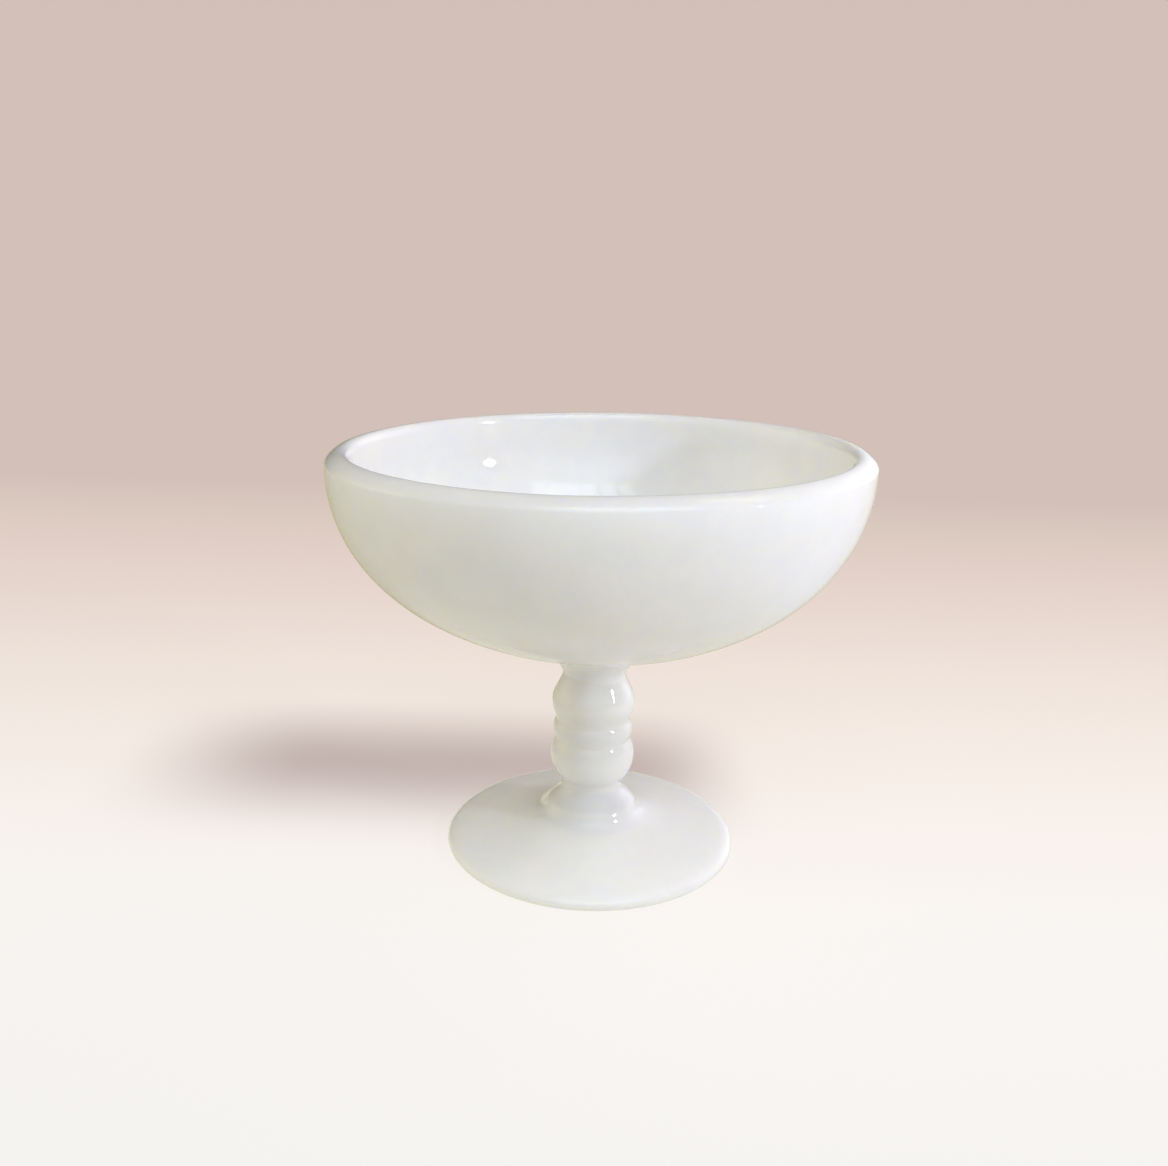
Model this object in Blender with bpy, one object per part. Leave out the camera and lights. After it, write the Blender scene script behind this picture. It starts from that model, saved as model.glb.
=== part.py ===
"""Footed milk-glass bowl (compote), as the gathers of glass that are joined hot to make it.

Every piece is a turned solid about the Z axis. The origin is the centre of the plane that the
foot rests on, with +Z up. Blender units are metres; outlines are worked out in millimetres as
(radius, height) and scaled once, where each piece is made.
"""
import math

import bmesh
import bpy
from mathutils import Vector

MM = 0.001
JOIN_GAP = 0.3              # left between two neighbouring gathers of glass

# Bowl
BOWL_RADIUS = 90.0          # outside, at the widest ring
BOWL_DEPTH = 65.2           # outside curve, from its widest ring to its lowest point
BOWL_ROUNDNESS = 2.12       # exponent of the outside curve; 2 is a plain ellipse
CURVE_TOP = 140.0           # height of the ring that both bowl curves start from
WALL = 6.4                  # thickness at the lip
LIP_HEIGHT = 143.8          # top of the lip, the height of the whole object
LIP_ROUNDING = 3.8          # height of the rounded part of the lip
INSIDE_DEPTH = 56.6         # inside curve, which leaves the bottom thicker than the wall
INSIDE_ROUNDNESS = 2.2
WALL_START = 5              # degrees along both curves where the lip's rounding takes over

# Neck and flare under the bowl
NECK_HEIGHT = 64.2          # narrowest place under the bowl
NECK_RADIUS = 11.1
FLARE_REACH = 17.0          # how far the whole flare would spread from the neck
FLARE_OUTER = 27.3          # radius where it runs into the bowl's underside
FLARE_SHARPNESS = 1.5       # exponent of the flare; 2 would be a plain elliptical fillet

# Stem, as (radius, height)
UPPER_KNOP_SHOULDER = (11.8, 60.7)
UPPER_KNOP = (14.6, 54.7)   # widest ring
UPPER_GROOVE = (13.1, 47.1)
CENTRE_RING = (13.7, 43.6)
LOWER_GROOVE = (13.1, 40.0)
LOWER_KNOP = (14.8, 33.5)
LOWER_KNOP_SHOULDER = (12.6, 26.7)
LOWER_NECK = (10.5, 23.9)

# Collar and foot, as (radius, height)
COLLAR_SHOULDER = [(11.1, 21.2), (12.6, 18.6), (15.2, 16.1)]
COLLAR = (16.4, 14.8)       # widest ring
COLLAR_SEAT = (16.4, 14.1)  # where the collar sits on the foot
FOOT_FLARE = [(17.0, 12.6), (18.4, 10.8), (21.0, 9.3), (26.0, 7.9), (33.0, 6.6)]
FOOT_SHOULDER = (48.3, 4.5)   # where the slope turns into the rounded rim
RIM_UPPER = (50.6, 3.4)
RIM_WIDEST = (51.4, 1.9)
RIM_LOWER = (50.9, 0.6)
REST_RING_OUTER = 49.6      # flat ring that touches the table
REST_RING_INNER = 44.0
RECESS_DEPTH = 3.0          # hollow of the underside, at its centre

BOWL_FACETS = 60
FOOT_FACETS = 60
STEM_FACETS = 40
SHARP_ANGLE = math.radians(40)


def lame_point(radius, depth, roundness, angle):
    """Point of (x / radius)^n + (y / depth)^n = 1, at an angle of 0 for y = 0."""
    power = 2 / roundness
    return radius * math.cos(angle) ** power, depth * math.sin(angle) ** power


def bowl_curve(radius, depth, roundness, start, end, count):
    """Bowl wall between two angles in degrees: 0 is its widest ring, 90 the axis."""
    points = []
    for step in range(count + 1):
        angle = math.radians(start + (end - start) * step / count)
        across, down = lame_point(radius, depth, roundness, angle)
        points.append((across, CURVE_TOP - down))
    return points


def half_ellipse(centre, reach, rise, count):
    """Upper half of an ellipse, from its inner end over the top to its outer end."""
    points = []
    for step in range(count + 1):
        angle = math.pi * (1 - step / count)
        points.append((centre[0] + reach * math.cos(angle), centre[1] + rise * math.sin(angle)))
    return points


def smooth_curve(points, per_span):
    """Points of a Catmull-Rom curve through all the given points."""
    corners = [Vector(point) for point in [points[0], *points, points[-1]]]
    curve = []
    for a, b, c, d in zip(corners, corners[1:], corners[2:], corners[3:]):
        for step in range(per_span):
            t = step / per_span
            place = b + 0.5 * ((c - a) * t + (2 * a - 5 * b + 4 * c - d) * t ** 2
                               + (3 * b - a - 3 * c + d) * t ** 3)
            curve.append(tuple(place))
    return curve + [tuple(points[-1])]


def flare_outline(top_height, count):
    """The flare under the bowl, from where it meets the bowl down to the neck."""
    base = NECK_HEIGHT + JOIN_GAP / 2
    left = 1 - (FLARE_OUTER - NECK_RADIUS) / FLARE_REACH
    widest = math.acos(left ** (FLARE_SHARPNESS / 2))
    full_rise = (top_height - base) / math.sin(widest) ** (2 / FLARE_SHARPNESS)
    points = []
    for step in range(count, -1, -1):
        inward, rise = lame_point(FLARE_REACH, full_rise, FLARE_SHARPNESS, widest * step / count)
        points.append((NECK_RADIUS + FLARE_REACH - inward, base + rise))
    return points


def bowl_outline():
    """Inside of the bowl from its centre up, over the lip, down the outside to the neck."""
    inside = bowl_curve(BOWL_RADIUS - WALL, INSIDE_DEPTH, INSIDE_ROUNDNESS, 90, WALL_START, 11)
    inside[0] = (0, CURVE_TOP - INSIDE_DEPTH)
    lip_centre = (BOWL_RADIUS - WALL / 2, LIP_HEIGHT - LIP_ROUNDING)
    lip = half_ellipse(lip_centre, WALL / 2, LIP_ROUNDING, 8)
    flare_angle = math.acos((FLARE_OUTER / BOWL_RADIUS) ** (BOWL_ROUNDNESS / 2))
    outside = bowl_curve(BOWL_RADIUS, BOWL_DEPTH, BOWL_ROUNDNESS, WALL_START,
                         math.degrees(flare_angle), 11)
    flare = flare_outline(outside[-1][1], 5)
    return inside + lip + outside[:-1] + flare + [(0, flare[-1][1])]


def gather_outline(side):
    """A gather of glass between two joins: flat ends, with a smooth side through the points."""
    top = side[0][1] - JOIN_GAP / 2
    bottom = side[-1][1] + JOIN_GAP / 2
    ends_moved = [(side[0][0], top), *side[1:-1], (side[-1][0], bottom)]
    return [(0, top)] + smooth_curve(ends_moved, 3) + [(0, bottom)]


def upper_knop_outline():
    neck = (NECK_RADIUS, NECK_HEIGHT)
    return gather_outline([neck, UPPER_KNOP_SHOULDER, UPPER_KNOP, UPPER_GROOVE])


def centre_ring_outline():
    return gather_outline([UPPER_GROOVE, CENTRE_RING, LOWER_GROOVE])


def lower_knop_outline():
    return gather_outline([LOWER_GROOVE, LOWER_KNOP, LOWER_KNOP_SHOULDER, LOWER_NECK])


def foot_collar_outline():
    return gather_outline([LOWER_NECK, *COLLAR_SHOULDER, COLLAR, COLLAR_SEAT])


def foot_outline():
    """Flat seat under the collar, the slope, the rounded rim, the rest ring and the hollow."""
    seat = COLLAR_SEAT[1] - JOIN_GAP / 2
    slope = smooth_curve([(COLLAR_SEAT[0], seat), *FOOT_FLARE, FOOT_SHOULDER], 2)
    rim = smooth_curve([FOOT_SHOULDER, RIM_UPPER, RIM_WIDEST, RIM_LOWER, (REST_RING_OUTER, 0)], 2)
    hollow_steps = 5
    hollow = []
    for step in range(hollow_steps + 1):
        angle = math.pi / 2 * step / hollow_steps
        hollow.append(lame_point(REST_RING_INNER, RECESS_DEPTH, 2, angle))
    hollow[-1] = (0, RECESS_DEPTH)
    return [(0, seat)] + slope[:-1] + rim + hollow


def glass(name, colour):
    """Opaque white pressed glass: glossy and not metallic."""
    material = bpy.data.materials.new(name)
    material.use_nodes = True
    shader = material.node_tree.nodes["Principled BSDF"]
    shader.inputs["Base Color"].default_value = (*colour, 1.0)
    shader.inputs["Roughness"].default_value = 0.08
    shader.inputs["Metallic"].default_value = 0.0
    return material


def turned(name, outline, facets, material, parent):
    """Spin an outline, in millimetres, about the Z axis into one closed solid."""
    shape = bmesh.new()
    corners = [shape.verts.new((radius * MM, 0, height * MM)) for radius, height in outline]
    edges = [shape.edges.new(pair) for pair in zip(corners, corners[1:])]
    bmesh.ops.spin(shape, geom=corners + edges, cent=(0, 0, 0), axis=(0, 0, 1),
                   angle=math.tau, steps=facets, use_merge=True)
    bmesh.ops.remove_doubles(shape, verts=shape.verts, dist=0.01 * MM)
    bmesh.ops.recalc_face_normals(shape, faces=shape.faces)
    mesh = bpy.data.meshes.new(name)
    shape.to_mesh(mesh)
    shape.free()
    mesh.shade_smooth()
    mesh.set_sharp_from_angle(angle=SHARP_ANGLE)
    mesh.materials.append(material)
    piece = bpy.data.objects.new(name, mesh)
    piece.parent = parent
    bpy.context.collection.objects.link(piece)


def main():
    for old in list(bpy.data.objects):
        bpy.data.objects.remove(old)
    axis = bpy.data.objects.new("turning_axis", None)
    bpy.context.collection.objects.link(axis)

    bowl_glass = glass("bowl_milk_glass", (0.86, 0.87, 0.84))
    stem_glass = glass("stem_milk_glass", (0.84, 0.84, 0.78))
    foot_glass = glass("foot_milk_glass", (0.86, 0.86, 0.83))

    turned("bowl", bowl_outline(), BOWL_FACETS, bowl_glass, axis)
    turned("upper_knop", upper_knop_outline(), STEM_FACETS, stem_glass, axis)
    turned("centre_ring", centre_ring_outline(), STEM_FACETS, stem_glass, axis)
    turned("lower_knop", lower_knop_outline(), STEM_FACETS, stem_glass, axis)
    turned("foot_collar", foot_collar_outline(), STEM_FACETS, stem_glass, axis)
    turned("foot", foot_outline(), FOOT_FACETS, foot_glass, axis)


main()
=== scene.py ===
"""Footed milk-glass bowl: fine turned surfaces, milk glass, a plain studio and the camera."""
import math

import bmesh
import bpy
from mathutils import Matrix, Vector, noise


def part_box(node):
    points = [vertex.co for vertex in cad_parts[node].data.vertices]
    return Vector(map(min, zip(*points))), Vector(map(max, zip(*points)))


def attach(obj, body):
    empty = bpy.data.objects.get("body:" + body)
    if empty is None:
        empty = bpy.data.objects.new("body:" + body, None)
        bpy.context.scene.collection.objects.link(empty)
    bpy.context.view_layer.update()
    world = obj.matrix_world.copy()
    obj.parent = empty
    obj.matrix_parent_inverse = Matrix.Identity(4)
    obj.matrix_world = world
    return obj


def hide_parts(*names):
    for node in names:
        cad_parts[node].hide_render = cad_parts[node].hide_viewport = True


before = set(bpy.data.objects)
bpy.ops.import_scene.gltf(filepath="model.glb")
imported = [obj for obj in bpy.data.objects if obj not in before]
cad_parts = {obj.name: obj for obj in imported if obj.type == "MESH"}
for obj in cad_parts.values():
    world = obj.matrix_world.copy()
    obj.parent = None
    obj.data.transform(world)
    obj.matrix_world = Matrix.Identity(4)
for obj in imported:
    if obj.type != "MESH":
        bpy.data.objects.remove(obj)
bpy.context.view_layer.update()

MM = 0.001
BODY = "root"

# ------------------------------------------------------------------ sizes, in millimetres
# The widest rings, the joins and the total height come from the frame; the points between
# them are (radius, height) along the side of each gather of glass.
BOWL_LOW, BOWL_HIGH = (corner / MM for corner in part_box("bowl"))
UPPER_LOW, UPPER_HIGH = (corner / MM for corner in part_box("upper_knop"))
RING_LOW, RING_HIGH = (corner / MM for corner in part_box("centre_ring"))
LOWER_LOW, LOWER_HIGH = (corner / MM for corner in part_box("lower_knop"))
COLLAR_LOW, COLLAR_HIGH = (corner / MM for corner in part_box("foot_collar"))
FOOT_LOW, FOOT_HIGH = (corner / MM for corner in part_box("foot"))

# Each join is half-way across the gap that the CAD pieces keep there.
NECK_HEIGHT = (BOWL_LOW.z + UPPER_HIGH.z) / 2
UPPER_GROOVE_HEIGHT = (UPPER_LOW.z + RING_HIGH.z) / 2
LOWER_GROOVE_HEIGHT = (RING_LOW.z + LOWER_HIGH.z) / 2
LOWER_NECK_HEIGHT = (LOWER_LOW.z + COLLAR_HIGH.z) / 2
SEAT_HEIGHT = (COLLAR_LOW.z + FOOT_HIGH.z) / 2

# Bowl
BOWL_RADIUS = BOWL_HIGH.x
BOWL_DEPTH = 65.2               # outside curve, from its widest ring to its lowest point
BOWL_ROUNDNESS = 2.12           # exponent of the outside curve; 2 is a plain ellipse
WALL = 8.0                      # thickness at the lip
LIP_HEIGHT = BOWL_HIGH.z
LIP_ROUNDING = 3.8              # height of the rounded part of the lip
LIP_SKEW = 0.35                 # moves the crest of the lip towards the inside
LIP_SLOPE = math.radians(0.9)   # the bowl's mouth is a little higher on its right side
CURVE_TOP = LIP_HEIGHT - LIP_ROUNDING
INSIDE_DEPTH = 56.6             # inside curve, which leaves the bottom thicker than the wall
INSIDE_ROUNDNESS = 2.2
WALL_START = 5                  # degrees along both curves where the lip's rounding takes over

# Flare under the bowl
FLARE_REACH = 17.0              # how far the whole flare would spread from the neck
FLARE_OUTER = 27.3              # radius where it runs into the bowl's underside
FLARE_SHARPNESS = 1.5           # exponent of the flare; 2 would be an elliptical fillet

# Stem
ABOVE_NECK = (11.1, NECK_HEIGHT + 1.2)      # only steers the curve's end
NECK = (11.1, NECK_HEIGHT)
UPPER_KNOP_TOP = [(11.2, 63.0), (11.75, 61.5), (12.45, 60.0), (13.25, 58.4), (14.0, 56.8),
                  (14.45, 55.4)]
UPPER_KNOP = (UPPER_HIGH.x, 53.8)
UPPER_KNOP_UNDER = [(14.4, 52.0), (13.9, 50.3), (13.4, 48.9), (13.1, 47.9)]
UPPER_GROOVE = (13.0, UPPER_GROOVE_HEIGHT)
CENTRE_RING = [(13.12, 46.6), (13.5, 45.9), (13.8, 45.1), (13.9, 44.1), (13.87, 43.0),
               (13.65, 41.9), (13.25, 40.8)]
LOWER_GROOVE = (13.05, LOWER_GROOVE_HEIGHT)
LOWER_KNOP_TOP = [(13.25, 39.4), (13.7, 38.5), (14.2, 37.3), (14.6, 35.7)]
LOWER_KNOP = (LOWER_HIGH.x, 33.9)
LOWER_KNOP_UNDER = [(14.7, 32.0), (14.35, 30.2), (13.7, 28.4), (12.7, 26.6), (11.5, 25.0)]
LOWER_NECK = (10.85, LOWER_NECK_HEIGHT)
COLLAR_SIDE = [(10.5, 22.9), (10.45, 21.9), (10.8, 20.9), (11.5, 19.9), (12.5, 18.9),
               (13.6, 17.9), (14.65, 16.9), (15.45, 16.0), (16.0, 15.1)]
COLLAR_SEAT = (16.5, SEAT_HEIGHT)

# Foot
FOOT_FLARE = [(17.1, 13.1), (17.95, 12.2), (19.3, 11.2), (21.5, 10.2), (24.6, 9.2), (28.6, 8.2),
              (33.5, 7.2), (38.7, 6.3), (43.7, 5.4)]
FOOT_SHOULDER = (48.3, 4.5)     # where the slope turns into the rounded rim
FOOT_RIM = [(50.6, 3.4), (FOOT_HIGH.x, 1.9), (50.9, 0.6)]
REST_RING_OUTER = 49.6          # flat ring that touches the table
REST_RING_INNER = 44.0
RECESS_DEPTH = 3.0              # hollow of the underside, at its centre

# The hand-worked surface strays a little from true, in waves.
WOBBLE = 0.12                   # how far it strays
WOBBLE_SCALE = 34.0             # size of the waves
WOBBLE_FULL_RADIUS = 12.0       # nearer the axis than this the waves are lower
WOBBLE_FULL_HEIGHT = 3.0        # and nearer the table than this, where the foot rests flat
WOBBLE_UP_RADIUS = 60.0         # the same for their upward part
OUTWARD_WAVES = Vector((7.3, 1.9, 4.2))     # places in the noise that the waves start from
UPWARD_WAVES = Vector((2.1, 8.7, 5.5))

# Fineness of the meshes
WALL_STEPS = 60
LIP_STEPS = 26
FLARE_STEPS = 22
STEM_STEPS = 4                  # between two given points
FOOT_STEPS = 6
HOLLOW_STEPS = 30
BOWL_FACETS = 256
STEM_FACETS = 144
FOOT_FACETS = 224
SHARP_ANGLE = math.radians(50)


# ------------------------------------------------------------------ outlines
def lame_point(radius, depth, roundness, angle):
    """Point of (x / radius)^n + (y / depth)^n = 1, at an angle of 0 for y = 0."""
    power = 2 / roundness
    return radius * math.cos(angle) ** power, depth * math.sin(angle) ** power


def bowl_curve(radius, depth, roundness, start, end):
    """Bowl wall between two angles in degrees: 0 is its widest ring, 90 the axis."""
    points = []
    for step in range(WALL_STEPS + 1):
        angle = math.radians(start + (end - start) * step / WALL_STEPS)
        across, down = lame_point(radius, depth, roundness, angle)
        points.append((across, CURVE_TOP - down))
    return points


def smooth_curve(points, per_span, before=None, after=None):
    """Catmull-Rom curve through the points; before and after only steer its two ends."""
    chain = [before or points[0], *points, after or points[-1]]
    corners = [Vector(point) for point in chain]
    curve = []
    for a, b, c, d in zip(corners, corners[1:], corners[2:], corners[3:]):
        for step in range(per_span):
            t = step / per_span
            place = b + 0.5 * ((c - a) * t + (2 * a - 5 * b + 4 * c - d) * t ** 2
                               + (3 * b - a - 3 * c + d) * t ** 3)
            curve.append(tuple(place))
    return curve + [tuple(points[-1])]


def lip_curve():
    """The rounded lip, from the inside wall over the crest to the outside wall."""
    centre = BOWL_RADIUS - WALL / 2
    crest = []
    for step in range(1, LIP_STEPS):
        angle = math.pi * (1 - step / LIP_STEPS)
        rise = math.sin(angle) * (1 - LIP_SKEW * math.cos(angle))
        crest.append((centre + WALL / 2 * math.cos(angle), rise))
    highest = max(rise for across, rise in crest)
    return [(across, CURVE_TOP + LIP_ROUNDING * rise / highest) for across, rise in crest]


def flare_curve(top_height):
    """The flare under the bowl, from where it meets the bowl down to the neck."""
    left = 1 - (FLARE_OUTER - NECK[0]) / FLARE_REACH
    widest = math.acos(left ** (FLARE_SHARPNESS / 2))
    full_rise = (top_height - NECK_HEIGHT) / math.sin(widest) ** (2 / FLARE_SHARPNESS)
    points = []
    for step in range(FLARE_STEPS, -1, -1):
        inward, rise = lame_point(FLARE_REACH, full_rise, FLARE_SHARPNESS,
                                  widest * step / FLARE_STEPS)
        points.append((NECK[0] + FLARE_REACH - inward, NECK_HEIGHT + rise))
    return points


def bowl_outline():
    """Inside of the bowl from its centre up, over the lip, down the outside to the neck."""
    inside = bowl_curve(BOWL_RADIUS - WALL, INSIDE_DEPTH, INSIDE_ROUNDNESS, 90, WALL_START)
    inside[0] = (0, CURVE_TOP - INSIDE_DEPTH)
    flare_angle = math.acos((FLARE_OUTER / BOWL_RADIUS) ** (BOWL_ROUNDNESS / 2))
    outside = bowl_curve(BOWL_RADIUS, BOWL_DEPTH, BOWL_ROUNDNESS, WALL_START,
                         math.degrees(flare_angle))
    return inside + lip_curve() + outside[:-1] + flare_curve(outside[-1][1]) + [(0, NECK_HEIGHT)]


def stem_outline(points, before, after):
    """A gather of glass between two joins: flat ends, and a side steered by its neighbours."""
    side = smooth_curve(points, STEM_STEPS, before, after)
    return [(0, side[0][1])] + side + [(0, side[-1][1])]


STEM_OUTLINES = {
    "upper_knop": stem_outline(
        [NECK, *UPPER_KNOP_TOP, UPPER_KNOP, *UPPER_KNOP_UNDER, UPPER_GROOVE],
        before=ABOVE_NECK, after=CENTRE_RING[0]),
    "centre_ring": stem_outline(
        [UPPER_GROOVE, *CENTRE_RING, LOWER_GROOVE],
        before=UPPER_KNOP_UNDER[-1], after=LOWER_KNOP_TOP[0]),
    "lower_knop": stem_outline(
        [LOWER_GROOVE, *LOWER_KNOP_TOP, LOWER_KNOP, *LOWER_KNOP_UNDER, LOWER_NECK],
        before=CENTRE_RING[-1], after=COLLAR_SIDE[0]),
    "foot_collar": stem_outline(
        [LOWER_NECK, *COLLAR_SIDE, COLLAR_SEAT],
        before=LOWER_KNOP_UNDER[-1], after=FOOT_FLARE[0]),
}


def foot_outline():
    """Flat seat under the collar, the slope, the rounded rim, the rest ring and the hollow."""
    top = smooth_curve([COLLAR_SEAT, *FOOT_FLARE, FOOT_SHOULDER, *FOOT_RIM, (REST_RING_OUTER, 0)],
                       FOOT_STEPS, before=COLLAR_SIDE[-1])
    hollow = []
    for step in range(HOLLOW_STEPS + 1):
        hollow.append(lame_point(REST_RING_INNER, RECESS_DEPTH, 2,
                                 math.pi / 2 * step / HOLLOW_STEPS))
    hollow[-1] = (0, RECESS_DEPTH)
    return [(0, SEAT_HEIGHT)] + top + hollow


# ------------------------------------------------------------------ nodes
def feed(tree, socket, value):
    """Give an input socket a value, or link it to another node's output socket."""
    if isinstance(value, bpy.types.NodeSocket):
        tree.links.new(value, socket)
    else:
        socket.default_value = value


def add_node(tree, kind, settings=None, **inputs):
    """A new node; inputs are either values or the output sockets of other nodes."""
    node = tree.nodes.new(kind)
    for name, value in (settings or {}).items():
        setattr(node, name, value)
    for name, value in inputs.items():
        feed(tree, node.inputs[name.replace("_", " ")], value)
    return node


def math_node(tree, operation, first, second=0.0):
    node = add_node(tree, "ShaderNodeMath", {"operation": operation})
    feed(tree, node.inputs[0], first)
    feed(tree, node.inputs[1], second)
    return node.outputs[0]


def remapped(tree, value, from_low, from_high, to_low, to_high):
    """Smooth step of a value from one range to another."""
    node = add_node(tree, "ShaderNodeMapRange", {"interpolation_type": "SMOOTHSTEP"},
                    Value=value, From_Min=from_low, From_Max=from_high,
                    To_Min=to_low, To_Max=to_high)
    return node.outputs["Result"]


def noise_value(tree, place, scale, detail=2.0, roughness=0.5, distortion=0.0):
    node = add_node(tree, "ShaderNodeTexNoise", Vector=place, Scale=scale, Detail=detail,
                    Roughness=roughness, Distortion=distortion)
    return node.outputs["Fac"]


def mixed_colour(tree, blend_type, share, first, second):
    node = add_node(tree, "ShaderNodeMix", {"data_type": "RGBA", "blend_type": blend_type})
    colours = [socket for socket in node.inputs if socket.type == "RGBA"]
    feed(tree, node.inputs[0], share)
    feed(tree, colours[0], first)
    feed(tree, colours[1], second)
    return [socket for socket in node.outputs if socket.type == "RGBA"][0]


def added_shaders(tree, first, second):
    node = add_node(tree, "ShaderNodeAddShader")
    tree.links.new(first, node.inputs[0])
    tree.links.new(second, node.inputs[1])
    return node.outputs[0]


def facing_share(tree, heading, direction):
    """Cosine between a heading and a fixed direction, and 0 where it points away from it."""
    facing = add_node(tree, "ShaderNodeVectorMath", {"operation": "DOT_PRODUCT"})
    feed(tree, facing.inputs[0], heading)
    feed(tree, facing.inputs[1], direction)
    return math_node(tree, "MAXIMUM", facing.outputs["Value"], 0.0)


def empty_material(name):
    """A material with no nodes yet, and its node tree."""
    material = bpy.data.materials.new(name)
    material.use_nodes = True
    material.node_tree.nodes.clear()
    return material, material.node_tree


def set_surface(tree, shader, output_kind="ShaderNodeOutputMaterial"):
    add_node(tree, output_kind, Surface=shader)


# ------------------------------------------------------------------ milk glass
# Lengths are in metres, and noise scales are waves to a metre.
BOWL_WHITES = ((0.885, 0.895, 0.925), (0.905, 0.895, 0.90))     # a cooler and a warmer white
STEM_WHITES = ((0.885, 0.885, 0.885), (0.90, 0.885, 0.86))
SWIRL_STRETCH = (1.0, 1.0, 2.6)     # makes the swirls flatter than they are wide
SWIRL_SCALE = 16.0
CLOUD_SCALE = 95.0
CLOUD_VALUES = (0.985, 1.01)        # brightness of the white, times this
SMEAR_SCALE = 38.0
ROUGHNESS = (0.02, 0.05)
RIPPLE_SCALE = 42.0
RIPPLE_HEIGHT = 0.00006
GRAIN_SCALE = 1400.0
GRAIN_HEIGHT = 0.000002
GRAIN_STRENGTH = 0.3
SCATTER_SCALE = 0.008
SCATTER_RADII = (1.0, 0.95, 0.7)
JOIN_FADE = (0.0005, 0.005)         # distances from a join where scattering starts and is full
GLASS_IOR = 1.5


def milk_glass(name, whites, joins):
    """Opaque white glass: faint swirls of two whites, scattering, a fire-polished surface.

    The scattering fades out close to each join, since the hidden faces there get no light.
    """
    material = bpy.data.materials.new(name)
    material.use_nodes = True
    tree = material.node_tree
    shader = tree.nodes["Principled BSDF"]
    place = add_node(tree, "ShaderNodeTexCoord").outputs["Object"]
    height = add_node(tree, "ShaderNodeSeparateXYZ", Vector=place).outputs["Z"]
    stretched = add_node(tree, "ShaderNodeMapping", Vector=place,
                         Scale=SWIRL_STRETCH).outputs["Vector"]

    swirl = noise_value(tree, stretched, SWIRL_SCALE, detail=3.0, roughness=0.55, distortion=1.4)
    cloud = noise_value(tree, place, CLOUD_SCALE, detail=3.0)
    cool, warm = ((*white, 1) for white in whites)
    white = mixed_colour(tree, "MIX", remapped(tree, swirl, 0.32, 0.68, 0.0, 1.0), cool, warm)
    clouded = add_node(tree, "ShaderNodeHueSaturation", Color=white,
                       Value=remapped(tree, cloud, 0.3, 0.7, *CLOUD_VALUES))
    feed(tree, shader.inputs["Base Color"], clouded.outputs["Color"])

    smear = noise_value(tree, stretched, SMEAR_SCALE, detail=4.0, roughness=0.6)
    feed(tree, shader.inputs["Roughness"], remapped(tree, smear, 0.35, 0.75, *ROUGHNESS))

    ripple = noise_value(tree, stretched, RIPPLE_SCALE, detail=1.0)
    waves = add_node(tree, "ShaderNodeBump", Strength=1.0, Distance=RIPPLE_HEIGHT, Height=ripple)
    grain = noise_value(tree, place, GRAIN_SCALE, detail=1.0)
    fine = add_node(tree, "ShaderNodeBump", Strength=GRAIN_STRENGTH, Distance=GRAIN_HEIGHT,
                    Height=grain, Normal=waves.outputs["Normal"])
    feed(tree, shader.inputs["Normal"], fine.outputs["Normal"])

    fade = 1.0
    for join in joins:
        from_join = math_node(tree, "ABSOLUTE", math_node(tree, "SUBTRACT", height, join * MM))
        fade = math_node(tree, "MULTIPLY", fade, remapped(tree, from_join, *JOIN_FADE, 0.0, 1.0))
    feed(tree, shader.inputs["Subsurface Weight"], remapped(tree, fade, 0.0, 1.0, 0.0, 1.0))
    shader.inputs["Subsurface Radius"].default_value = SCATTER_RADII
    shader.inputs["Subsurface Scale"].default_value = SCATTER_SCALE
    shader.inputs["IOR"].default_value = GLASS_IOR
    return material


# ------------------------------------------------------------------ turned pieces
def wobbled(radius, height, angle):
    """Place on a turned surface, with its slight waves and the slope of the bowl's mouth."""
    direction = Vector((math.cos(angle), math.sin(angle), 0))
    place = direction * radius + Vector((0, 0, height))
    if radius < 1:
        return place
    strength = (WOBBLE * min(1.0, radius / WOBBLE_FULL_RADIUS)
                * min(1.0, height / WOBBLE_FULL_HEIGHT))
    outward = noise.noise(place / WOBBLE_SCALE + OUTWARD_WAVES) * strength
    upward = noise.noise(place / WOBBLE_SCALE + UPWARD_WAVES) * strength
    place += direction * outward + Vector((0, 0, upward * min(1.0, radius / WOBBLE_UP_RADIUS)))
    share = max(0.0, (height - NECK_HEIGHT) / (LIP_HEIGHT - NECK_HEIGHT))
    place.z += place.x * math.tan(LIP_SLOPE) * share * share * (3 - 2 * share)
    return place


def linked_object(name, shape, material):
    """Turn a bmesh into an object of the scene."""
    mesh = bpy.data.meshes.new(name)
    shape.to_mesh(mesh)
    shape.free()
    mesh.materials.append(material)
    thing = bpy.data.objects.new(name, mesh)
    bpy.context.collection.objects.link(thing)
    return thing


def turned(node, outline, facets, material):
    """Closed body of revolution about the Z axis that stands for one CAD node."""
    shape = bmesh.new()
    rings = []
    for radius, height in outline:
        if radius == 0:
            rings.append([shape.verts.new(Vector((0, 0, height)) * MM)])
            continue
        ring = []
        for step in range(facets):
            ring.append(shape.verts.new(wobbled(radius, height, math.tau * step / facets) * MM))
        rings.append(ring)
    for first, second in zip(rings, rings[1:]):
        for step in range(facets):
            after = (step + 1) % facets
            if len(first) == 1:
                shape.faces.new((first[0], second[step], second[after]))
            elif len(second) == 1:
                shape.faces.new((first[step], second[0], first[after]))
            else:
                shape.faces.new((first[step], second[step], second[after], first[after]))
    bmesh.ops.recalc_face_normals(shape, faces=shape.faces)
    piece = linked_object(f"{node}_surface", shape, material)
    piece.data.shade_smooth()
    piece.data.set_sharp_from_angle(angle=SHARP_ANGLE)
    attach(piece, BODY)
    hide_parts(node)


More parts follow.
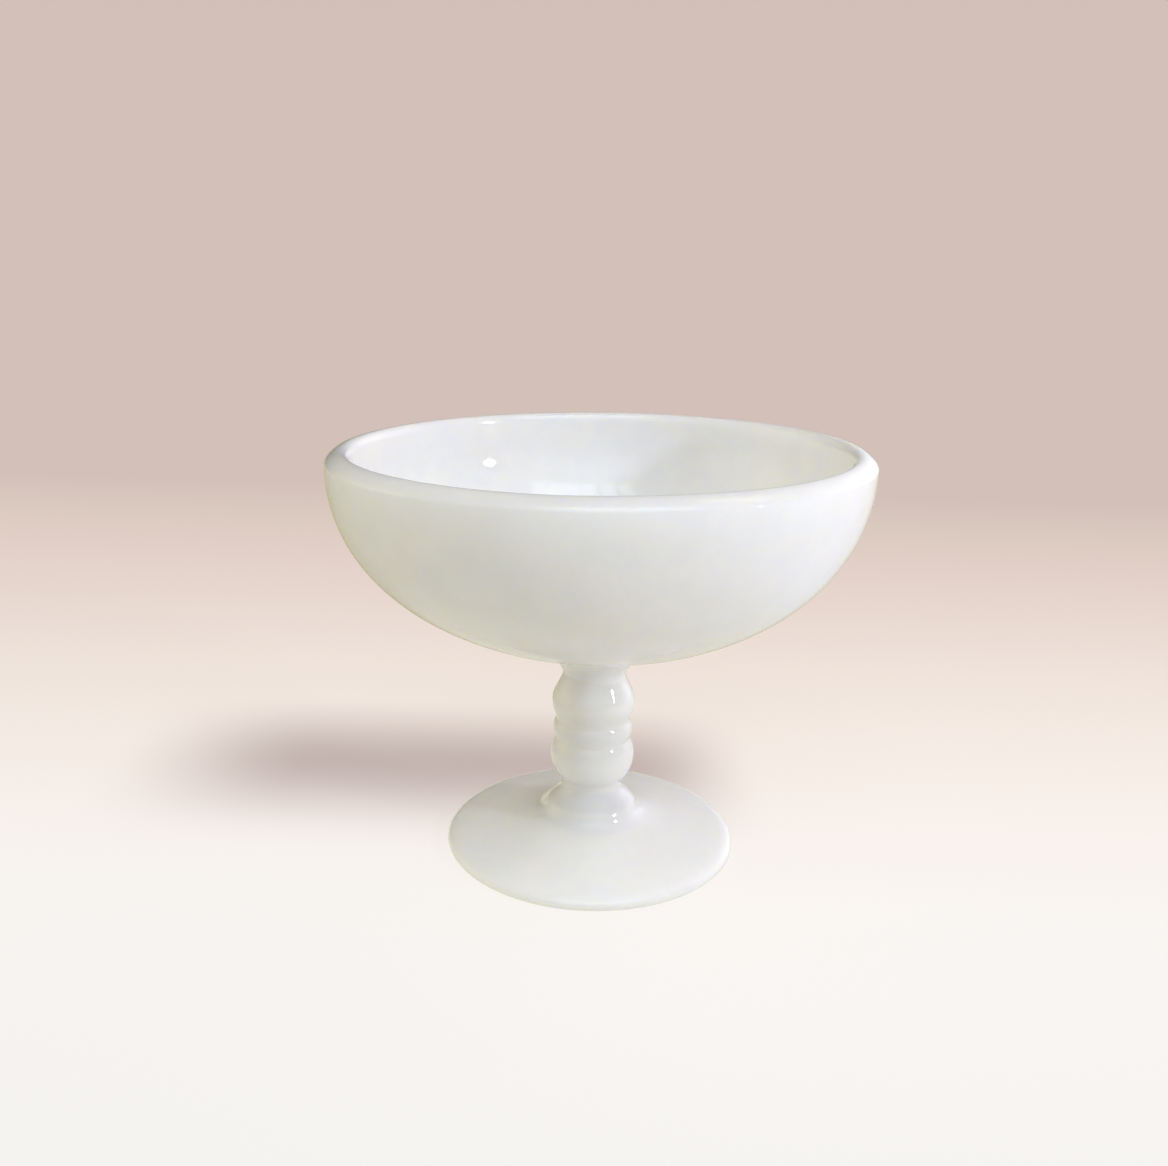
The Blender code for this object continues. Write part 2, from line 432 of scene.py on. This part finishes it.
bowl_glass = milk_glass("bowl_milk_glass", BOWL_WHITES, [NECK_HEIGHT])
stem_glass = milk_glass("stem_milk_glass", STEM_WHITES,
                        [NECK_HEIGHT, UPPER_GROOVE_HEIGHT, LOWER_GROOVE_HEIGHT,
                         LOWER_NECK_HEIGHT, SEAT_HEIGHT])
foot_glass = milk_glass("foot_milk_glass", BOWL_WHITES, [SEAT_HEIGHT])

turned("bowl", bowl_outline(), BOWL_FACETS, bowl_glass)
for stem_node, side_outline in STEM_OUTLINES.items():
    turned(stem_node, side_outline, STEM_FACETS, stem_glass)
turned("foot", foot_outline(), FOOT_FACETS, foot_glass)


# ------------------------------------------------------------------ studio floor and wall
STUDIO_RADIUS = 6.0
DOME_RADIUS = STUDIO_RADIUS * 0.98
BOUNCE_DROP = 0.0003            # the bouncing floor lies this far under the one that is seen
WALL_COLOUR = (0.645, 0.527, 0.485)
# Floor colour against the distance behind the object, in metres; it runs into the wall's.
FLOOR_STOPS = [
    (-0.16, (0.913, 0.896, 0.880)),
    (-0.04, (0.940, 0.905, 0.880)),
    (0.02, (0.939, 0.871, 0.831)),
    (0.085, (0.913, 0.838, 0.783)),
    (0.175, (0.871, 0.776, 0.716)),
    (0.30, (0.807, 0.687, 0.631)),
    (0.40, (0.768, 0.638, 0.584)),
    (0.53, (0.701, 0.584, 0.521)),
    (0.66, WALL_COLOUR),
]
GLOW_SHARE = 0.875              # of the floor's colour, shown whatever the lights do
LIT_SHARE = 0.16                # of the floor's colour, which takes the lights and shadows
LIT_END = (0.20, 0.62)          # distances behind the object between which only glow is left

# Painted shade: a soft shade painted into the floor's colour behind the object, not cast by any
# lamp. Where its two ends fade along X, and its middle and its reach to each side of that along
# Y.
PAINTED_SHADE_LEFT = (-0.205, -0.115)
PAINTED_SHADE_RIGHT = (0.015, 0.072)
PAINTED_SHADE_MIDDLE = 0.058
PAINTED_SHADE_REACH = 0.074
PAINTED_SHADE_DEPTH = (0.385, 0.44, 0.435)

# Light that comes up off the table: under the object, and further out on each side of it.
BOUNCE_UNDER = (0.73, 0.71, 0.59)
BOUNCE_SIDES = {
    (0, -1, 0): (0.62, 0.58, 0.50),
    (0, 1, 0): (0.50, 0.42, 0.20),
    (-1, 0, 0): (0.50, 0.49, 0.42),
    (1, 0, 0): (0.93, 0.93, 1.00),
}
BOUNCE_BORDER = (0.10, 0.20)    # distances from the axis between which the one turns to the other
BOUNCE_SHARPNESS = 2.0


def studio_disc(name, height, material):
    shape = bmesh.new()
    bmesh.ops.create_circle(shape, cap_ends=True, radius=STUDIO_RADIUS, segments=96)
    disc = linked_object(name, shape, material)
    disc.location.z = height
    return disc


def studio_dome(name, material):
    shape = bmesh.new()
    bmesh.ops.create_uvsphere(shape, u_segments=64, v_segments=32, radius=DOME_RADIUS)
    bmesh.ops.reverse_faces(shape, faces=shape.faces)
    dome = linked_object(name, shape, material)
    return dome


def floor_material():
    """Pale floor that turns to the wall's colour with distance, with a soft shade painted on it.
    """
    material, tree = empty_material("studio_floor")
    place = add_node(tree, "ShaderNodeTexCoord").outputs["Object"]
    axes = add_node(tree, "ShaderNodeSeparateXYZ", Vector=place)
    behind = axes.outputs["Y"]
    nearest, furthest = FLOOR_STOPS[0][0], FLOOR_STOPS[-1][0]
    along = add_node(tree, "ShaderNodeMapRange", Value=behind, From_Min=nearest,
                     From_Max=furthest, To_Min=0.0, To_Max=1.0).outputs["Result"]
    ramp = add_node(tree, "ShaderNodeValToRGB", Fac=along)
    stops = ramp.color_ramp.elements
    for index, (distance, colour) in enumerate(FLOOR_STOPS):
        position = (distance - nearest) / (furthest - nearest)
        stop = stops[index] if index < 2 else stops.new(position)
        stop.position = position
        stop.color = (*colour, 1)

    # Painted shade: a soft darker pool multiplied into the floor's colour behind the object, not
    # a cast shadow.
    left_end = remapped(tree, axes.outputs["X"], *PAINTED_SHADE_LEFT, 0.0, 1.0)
    right_end = remapped(tree, axes.outputs["X"], *PAINTED_SHADE_RIGHT, 1.0, 0.0)
    from_middle = math_node(tree, "ABSOLUTE", math_node(tree, "SUBTRACT", behind, PAINTED_SHADE_MIDDLE))
    band = remapped(tree, from_middle, 0.0, PAINTED_SHADE_REACH, 1.0, 0.0)
    shade = math_node(tree, "MULTIPLY", math_node(tree, "MULTIPLY", left_end, right_end), band)
    darkest = (*(1 - depth for depth in PAINTED_SHADE_DEPTH), 1)
    floor_colour = mixed_colour(tree, "MULTIPLY", shade, ramp.outputs["Color"], darkest)

    glow = add_node(tree, "ShaderNodeEmission", Color=floor_colour,
                    Strength=remapped(tree, behind, *LIT_END, GLOW_SHARE, 1.0))
    dimmed = add_node(tree, "ShaderNodeHueSaturation", Color=floor_colour,
                      Value=remapped(tree, behind, *LIT_END, LIT_SHARE, 0.0))
    lit = add_node(tree, "ShaderNodeBsdfDiffuse", Color=dimmed.outputs["Color"])
    set_surface(tree, added_shaders(tree, glow.outputs[0], lit.outputs[0]))
    return material


def bounce_material():
    """The light that comes up off the table, as a glow."""
    material, tree = empty_material("studio_bounce")
    place = add_node(tree, "ShaderNodeTexCoord").outputs["Object"]
    distance = add_node(tree, "ShaderNodeVectorMath", {"operation": "LENGTH"})
    feed(tree, distance.inputs[0], place)
    outside = remapped(tree, distance.outputs["Value"], *BOUNCE_BORDER, 0.0, 1.0)
    inside = remapped(tree, distance.outputs["Value"], *BOUNCE_BORDER, 1.0, 0.0)
    heading = add_node(tree, "ShaderNodeVectorMath", {"operation": "NORMALIZE"})
    feed(tree, heading.inputs[0], place)
    total = add_node(tree, "ShaderNodeEmission", Color=(*BOUNCE_UNDER, 1),
                     Strength=inside).outputs[0]
    for side, colour in BOUNCE_SIDES.items():
        toward = facing_share(tree, heading.outputs["Vector"], side)
        sharpened = math_node(tree, "POWER", toward, BOUNCE_SHARPNESS)
        glow = add_node(tree, "ShaderNodeEmission", Color=(*colour, 1),
                        Strength=math_node(tree, "MULTIPLY", sharpened, outside))
        total = added_shaders(tree, total, glow.outputs[0])
    set_surface(tree, total)
    return material


def glowing_material(name, colour):
    material, tree = empty_material(name)
    set_surface(tree, add_node(tree, "ShaderNodeEmission", Color=(*colour, 1)).outputs[0])
    return material


def see_only(thing, camera, light):
    """Choose whether the camera sees a stage object, and whether light bounces off it."""
    thing.visible_camera = camera
    for kind in ("visible_diffuse", "visible_glossy", "visible_transmission", "visible_shadow"):
        setattr(thing, kind, light)


floor = studio_disc("studio_floor", 0.0, floor_material())
see_only(floor, camera=True, light=False)
bounce_floor = studio_disc("studio_bounce_floor", -BOUNCE_DROP, bounce_material())
see_only(bounce_floor, camera=False, light=True)
wall = studio_dome("studio_wall", glowing_material("studio_wall", WALL_COLOUR))
see_only(wall, camera=True, light=False)


# ------------------------------------------------------------------ lights
BOWL_CENTRE = Vector((0, 0, 0.12))
LAMP_DISTANCE = 1.3

# A row of window panes above the front, mirrored inside the bowl.
PANEL_PLACE = (14, 61)          # azimuth and elevation from the bowl, in degrees
PANEL_DISTANCE = 1.5
PANES = 6
PANE_WIDTH = 0.175
PANE_LENGTH = 0.62
PANE_STEP = 0.215
PANE_BRIGHTNESS = 2.3
PANE_COLOUR = (0.90, 0.96, 1.0)

# Broad glows of the surroundings: azimuth and elevation in degrees, and the colour in the middle.
SKY_GLOWS = [
    (-90, 5, (1.50, 1.33, 0.84)),
    (-115, 38, (0.30, 0.29, 0.27)),
    (135, 5, (1.78, 1.90, 2.10)),
    (0, 45, (1.18, 1.29, 1.36)),
    (120, 45, (0.40, 0.15, 0.05)),
]
SKY_SHARPNESS = 6.0


def level_direction(azimuth, elevation):
    """Unit vector; azimuth is in degrees from the camera's side of the object to its right."""
    turn = math.radians(azimuth)
    rise = math.radians(elevation)
    return Vector((math.sin(turn) * math.cos(rise), -math.cos(turn) * math.cos(rise),
                   math.sin(rise)))


def softbox(name, place, target, width, length, brightness, colour, turn=0):
    """Rectangular light with a given brightness per area, turned about its own axis."""
    light = bpy.data.lights.new(name, "AREA")
    light.shape = "RECTANGLE"
    light.size = width
    light.size_y = length
    light.energy = brightness * math.pi * width * length
    light.color = colour
    lamp = bpy.data.objects.new(name, light)
    aim = (target - place).to_track_quat("-Z", "Y").to_matrix()
    lamp.matrix_world = (Matrix.Translation(place)
                         @ (aim @ Matrix.Rotation(math.radians(turn), 3, "Z")).to_4x4())
    lamp.visible_camera = False
    bpy.context.collection.objects.link(lamp)


def square_softbox(name, azimuth, elevation, size, brightness, colour, turn=0):
    """Square softbox that points at the bowl."""
    place = BOWL_CENTRE + level_direction(azimuth, elevation) * LAMP_DISTANCE
    softbox(name, place, BOWL_CENTRE, size, size, brightness, colour, turn)


def glowing_sky():
    world = bpy.data.worlds.new("studio_world")
    world.use_nodes = True
    tree = world.node_tree
    tree.nodes.clear()
    heading = add_node(tree, "ShaderNodeTexCoord").outputs["Generated"]
    total = None
    for azimuth, elevation, colour in SKY_GLOWS:
        toward = facing_share(tree, heading, level_direction(azimuth, elevation))
        glow = add_node(tree, "ShaderNodeBackground", Color=(*colour, 1),
                        Strength=math_node(tree, "POWER", toward, SKY_SHARPNESS)).outputs[0]
        total = glow if total is None else added_shaders(tree, total, glow)
    set_surface(tree, total, "ShaderNodeOutputWorld")
    return world


# The main lamp stands low to the right; its mirror images are the small bright spots.
square_softbox("key_lamp", 63, 20, 0.11, 164, (0.90, 0.92, 1.0), turn=45)
square_softbox("side_window", 110, 60, 0.4, 1.4, (0.9, 1.0, 0.5))

panel_direction = level_direction(*PANEL_PLACE)
for pane in range(PANES):
    sideways = (pane - (PANES - 1) / 2) * PANE_STEP
    pane_place = BOWL_CENTRE + panel_direction * PANEL_DISTANCE + Vector((sideways, 0, 0))
    softbox(f"roof_pane_{pane}", pane_place, pane_place - panel_direction, PANE_WIDTH,
            PANE_LENGTH, PANE_BRIGHTNESS, PANE_COLOUR)

bpy.context.scene.world = glowing_sky()
bpy.context.scene.view_settings.view_transform = "Standard"
bpy.context.scene.view_settings.look = "None"

# ------------------------------------------------------------------ camera
CAMERA_PLACE = Vector((0, -0.37419, 0.20235))
CAMERA_DOWN = math.radians(15.845)
CAMERA_TURN = math.radians(0.691)
CAMERA_LEAN = math.radians(1.483)
CAMERA_LENS = 34.93
CAMERA_SENSOR = 36.0

camera_data = bpy.data.cameras.new("photo_camera")
camera_data.lens = CAMERA_LENS
camera_data.sensor_width = CAMERA_SENSOR
camera_data.clip_end = 4 * STUDIO_RADIUS
camera = bpy.data.objects.new("photo_camera", camera_data)
camera.matrix_world = (Matrix.Translation(CAMERA_PLACE) @ Matrix.Rotation(CAMERA_TURN, 4, "Z")
                       @ Matrix.Rotation(math.pi / 2 - CAMERA_DOWN, 4, "X")
                       @ Matrix.Rotation(CAMERA_LEAN, 4, "Z"))
bpy.context.collection.objects.link(camera)
bpy.context.scene.camera = camera
